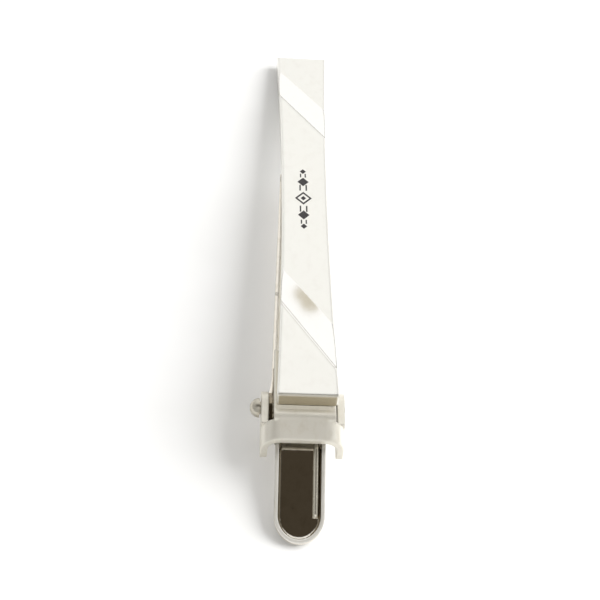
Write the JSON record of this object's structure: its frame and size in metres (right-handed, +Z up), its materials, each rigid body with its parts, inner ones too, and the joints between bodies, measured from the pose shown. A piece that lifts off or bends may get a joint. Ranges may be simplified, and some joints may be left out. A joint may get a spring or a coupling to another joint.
{
  "type": "tie clip",
  "caption": "Spring-loaded tie clip: a waisted brushed-metal bar with slanting polished cuts, and behind it a hinged channel lever whose toothed jaw closes on the bar's back.",
  "frame": {"origin": "centre of the bar's flat hinge-end face, on the bar's own centre line", "axes": "+Y runs from the hinge end towards the bar's far end, +Z is up with the clip lying front-up on a table, on its thumb tongue's tip and the bar's far end"},
  "size_m": [0.0094, 0.0666, 0.0083],
  "materials": {
    "bar": "satin brushed, with polished cuts",
    "solder": "matte",
    "bracket": "satin",
    "pin": "polished",
    "wire": "drawn wire",
    "lever": "polished"
  },
  "bodies": {
    "bar": {"front_bar": "bar", "solder_seam": "solder", "hinge_bracket": "bracket", "pivot_pin": "pin", "torsion_spring": "wire"},
    "lever": {"clip_lever": "lever"}
  },
  "joints": [
    {"name": "lever_pivot", "type": "hinge", "parent": "bar", "child": "lever", "pos_m": [-0.00034, 0.00116, -0.00325], "axis": [-1, 0, 0], "range_deg": [0, 12], "stiffness_Nm_per_rad": 0.02, "springref_deg": -57.3, "deforming": ["torsion_spring"]}
  ]
}
